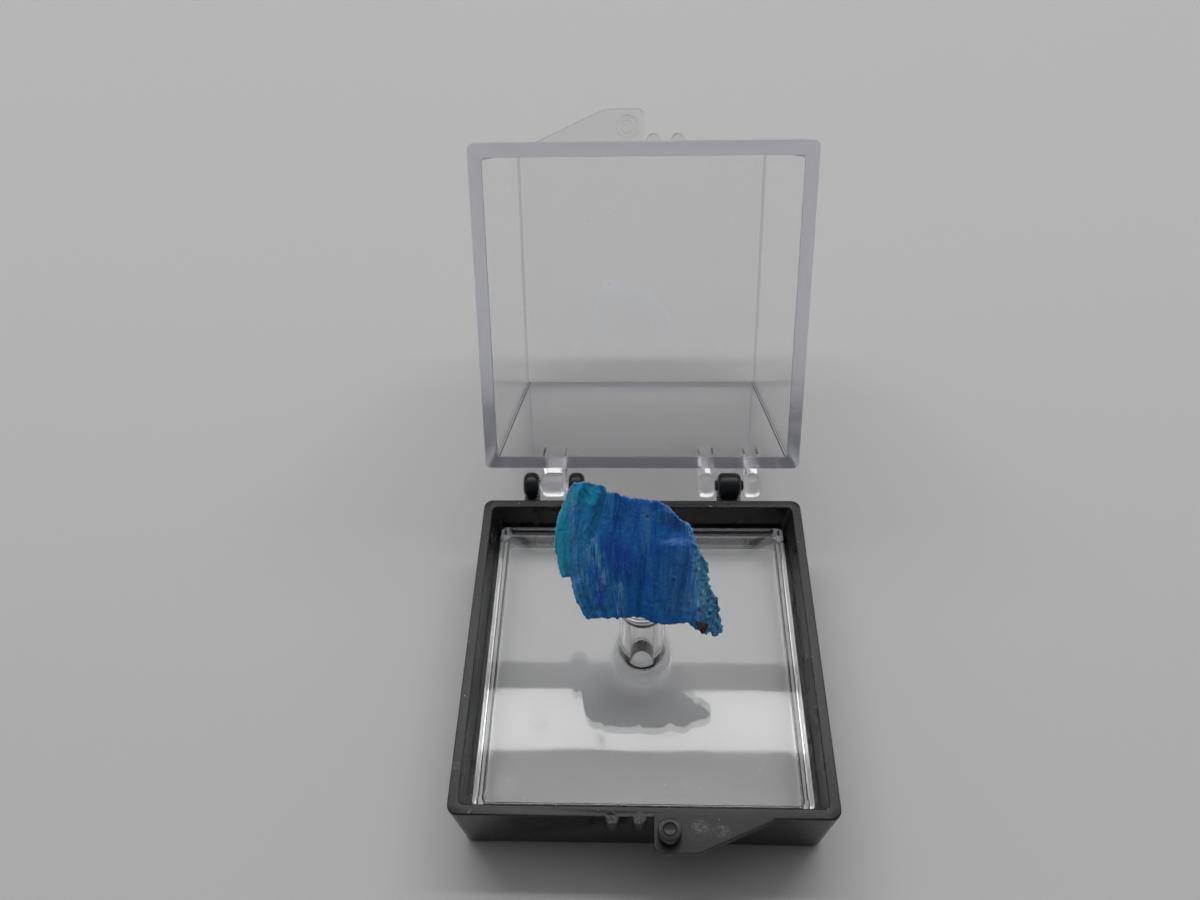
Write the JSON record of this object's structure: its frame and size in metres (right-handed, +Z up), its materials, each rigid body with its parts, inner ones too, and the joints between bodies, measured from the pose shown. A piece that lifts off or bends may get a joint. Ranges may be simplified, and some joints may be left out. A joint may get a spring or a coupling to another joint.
{
  "type": "chalcanthite specimen in a hinged display box",
  "caption": "Blue fibrous mineral fragment on a clear pedestal insert, in a small square display box whose deep clear lid is hinged behind a shallow black tray.",
  "frame": {"origin": "centre of the tray's flat underside, on the surface that the box stands on", "axes": "+Z up, +Y from the catch to the hinge, +X along the hinge axis, to the right as seen from the catch"},
  "size_m": [0.0318, 0.0716, 0.0401],
  "materials": {
    "black_plastic": "satin black moulding",
    "clear_lid_plastic": "clear gloss moulding",
    "clear_insert_plastic": "clear gloss moulding",
    "white_card": "matt",
    "clear_glue": "clear, slightly cloudy",
    "chalcanthite": "vitreous, fibrous"
  },
  "bodies": {
    "tray": {"base_tray": "black_plastic", "floor_card": "white_card", "clear_insert": "clear_insert_plastic", "glue_dab": "clear_glue", "chalcanthite": "chalcanthite"},
    "lid": {"clear_lid": "clear_lid_plastic"}
  },
  "joints": [
    {"name": "lid_hinge", "type": "hinge", "parent": "tray", "child": "lid", "pos_m": [0, 0.01767, 0.008], "axis": [1, 0, 0], "range_deg": [0, 118.1]}
  ]
}
